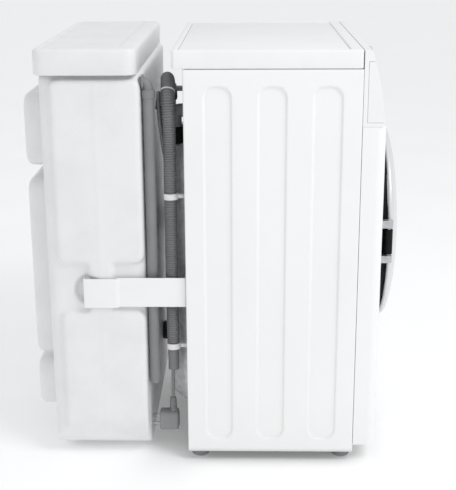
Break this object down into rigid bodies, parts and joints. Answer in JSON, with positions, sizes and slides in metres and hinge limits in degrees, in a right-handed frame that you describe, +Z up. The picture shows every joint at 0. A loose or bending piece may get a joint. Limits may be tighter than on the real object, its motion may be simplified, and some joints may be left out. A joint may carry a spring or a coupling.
{
  "type": "front-loading washing machine with rear water tank",
  "caption": "White front-loading washing machine with a lidded moulded water tank strapped behind it, drain hose and mains lead, all covers, drum and controls moving.",
  "frame": {"origin": "on the floor, under the centre of the whole object's box", "axes": "+Z up, the door faces -Y, the water tank is at +Y, +X to the right as seen from the front"},
  "size_m": [0.6, 0.762, 0.852],
  "materials": {
    "enamel": "satin",
    "worktop_plastic": "satin",
    "fascia_plastic": "satin",
    "galvanised": "satin",
    "foot_plastic": "matte",
    "display_glass": "gloss",
    "silver_plastic": "satin",
    "drawer_plastic": "satin",
    "housing_plastic": "matte",
    "smoked_window": "gloss",
    "dark_plastic": "satin",
    "door_glass": "gloss",
    "hinge_metal": "satin",
    "gasket_rubber": "matte",
    "tub_plastic": "matte",
    "stainless": "satin",
    "cast_aluminium": "satin",
    "belt_rubber": "matte",
    "motor_metal": "satin",
    "pulley_steel": "satin",
    "concrete": "matte",
    "spring_steel": "satin",
    "damper_plastic": "satin",
    "hose_plastic": "satin",
    "cord_jacket": "matte",
    "tank_plastic": "satin",
    "pipe_plastic": "satin",
    "cap_plastic": "satin"
  },
  "bodies": {
    "cabinet": {"left_side_panel": "enamel", "right_side_panel": "enamel", "rear_panel": "galvanised", "base_frame": "damper_plastic", "suspension_frame": "galvanised", "worktop": "worktop_plastic", "front_panel": "enamel", "control_fascia": "fascia_plastic", "display_window": "display_glass", "dispenser_housing": "housing_plastic", "door_hinge": "hinge_metal", "door_lock": "dark_plastic", "door_gasket": "gasket_rubber", "drain_pump": "housing_plastic", "water_inlet": "pipe_plastic", "drain_hose": "hose_plastic", "hose_hook": "hose_plastic", "mains_cord": "cord_jacket", "cord_gland": "cord_jacket", "mains_plug": "cord_jacket", "tank_body": "tank_plastic", "strap_left": "enamel", "strap_right": "enamel", "suction_pipe": "pipe_plastic", "pipe_elbow": "pipe_plastic", "damper_cylinder_left": "damper_plastic", "damper_cylinder_right": "damper_plastic", "spring_left": "spring_steel", "spring_right": "spring_steel"},
    "foot_front_left_body": {"foot_front_left": "foot_plastic"},
    "foot_front_right_body": {"foot_front_right": "foot_plastic"},
    "foot_back_left_body": {"foot_back_left": "foot_plastic"},
    "foot_back_right_body": {"foot_back_right": "foot_plastic"},
    "knob": {"program_knob": "silver_plastic"},
    "start_key": {"start_button": "silver_plastic"},
    "temperature_key": {"temperature_button": "silver_plastic"},
    "spin_key": {"spin_button": "silver_plastic"},
    "drawer": {"drawer_front": "drawer_plastic", "detergent_drawer": "drawer_plastic", "siphon_cap": "damper_plastic"},
    "door": {"door_outer_ring": "silver_plastic", "door_cover": "smoked_window", "door_inner_frame": "dark_plastic", "door_glass": "door_glass"},
    "door_latch": {"door_handle": "silver_plastic"},
    "flap": {"filter_flap": "enamel"},
    "filter": {"pump_filter": "pipe_plastic"},
    "tub": {"tub_front": "tub_plastic", "tub_rear": "tub_plastic", "motor": "motor_metal", "counterweight": "concrete", "damper_rod_left": "pipe_plastic", "damper_rod_right": "pipe_plastic", "drive_belt": "belt_rubber"},
    "drum_rotor": {"drum": "stainless", "drum_spider": "cast_aluminium", "drum_pulley": "cast_aluminium"},
    "motor_rotor": {"motor_pulley": "pulley_steel"},
    "lid": {"tank_lid": "tank_plastic"},
    "outlet": {"outlet_cap": "cap_plastic"}
  },
  "joints": [
    {"name": "door_swing", "type": "hinge", "parent": "cabinet", "child": "door", "pos_m": [-0.224, -0.352, 0.447], "axis": [0, 0, -1], "range_deg": [0, 130]},
    {"name": "door_handle_pull", "type": "hinge", "parent": "door", "child": "door_latch", "pos_m": [0.178, -0.372, 0.447], "axis": [0, 0, -1], "range_deg": [0, 10], "stiffness_Nm_per_rad": 0.6},
    {"name": "drawer_slide", "type": "slide", "parent": "cabinet", "child": "drawer", "axis": [0, -1, 0], "range_m": [0, 0.19]},
    {"name": "program_knob_turn", "type": "hinge", "parent": "cabinet", "child": "knob", "pos_m": [0.05, -0.31601, 0.785], "axis": [0, -0.9836, 0.1805], "continuous": true},
    {"name": "start_press", "type": "slide", "parent": "cabinet", "child": "start_key", "axis": [0, 0.9836, -0.1805], "range_m": [0, 0.0015], "stiffness_N_per_m": 400},
    {"name": "temperature_press", "type": "slide", "parent": "cabinet", "child": "temperature_key", "axis": [0, 0.9836, -0.1805], "range_m": [0, 0.0015], "stiffness_N_per_m": 400},
    {"name": "spin_press", "type": "slide", "parent": "cabinet", "child": "spin_key", "axis": [0, 0.9836, -0.1805], "range_m": [0, 0.0015], "stiffness_N_per_m": 400},
    {"name": "tub_bounce", "type": "slide", "parent": "cabinet", "child": "tub", "axis": [0, 0, 1], "range_m": [-0.008, 0.008], "stiffness_N_per_m": 14000, "springref_m": 0.02256, "deforming": ["spring_left", "spring_right"]},
    {"name": "drum_spin", "type": "hinge", "parent": "tub", "child": "drum_rotor", "pos_m": [0, 0, 0.447], "axis": [0, 1, 0], "continuous": true},
    {"name": "motor_spin", "type": "hinge", "parent": "tub", "child": "motor_rotor", "pos_m": [0, 0, 0.125], "axis": [0, 1, 0], "continuous": true},
    {"name": "filter_flap_open", "type": "hinge", "parent": "cabinet", "child": "flap", "pos_m": [0.23, -0.331, 0.0588], "axis": [1, 0, 0], "range_deg": [0, 90]},
    {"name": "filter_turn", "type": "hinge", "parent": "cabinet", "child": "filter", "pos_m": [0.23, -0.28, 0.1], "axis": [0, -1, 0], "range_deg": [0, 90]},
    {"name": "tank_lid_lift", "type": "slide", "parent": "cabinet", "child": "lid", "axis": [0, 0, 1], "range_m": [0, 0.12]},
    {"name": "outlet_cap_turn", "type": "hinge", "parent": "cabinet", "child": "outlet", "pos_m": [0.09, 0.13, 0.14], "axis": [0, -1, 0], "continuous": true},
    {"name": "foot_front_left_turn", "type": "hinge", "parent": "cabinet", "child": "foot_front_left_body", "pos_m": [-0.262, -0.262, 0], "axis": [0, 0, 1], "continuous": true},
    {"name": "foot_front_right_turn", "type": "hinge", "parent": "cabinet", "child": "foot_front_right_body", "pos_m": [0.262, -0.262, 0], "axis": [0, 0, 1], "continuous": true},
    {"name": "foot_back_left_turn", "type": "hinge", "parent": "cabinet", "child": "foot_back_left_body", "pos_m": [-0.262, 0.033, 0], "axis": [0, 0, 1], "continuous": true},
    {"name": "foot_back_right_turn", "type": "hinge", "parent": "cabinet", "child": "foot_back_right_body", "pos_m": [0.262, 0.033, 0], "axis": [0, 0, 1], "continuous": true}
  ],
  "couplings": [
    {"joint": "motor_spin", "follows": "drum_spin", "ratio": 10}
  ]
}
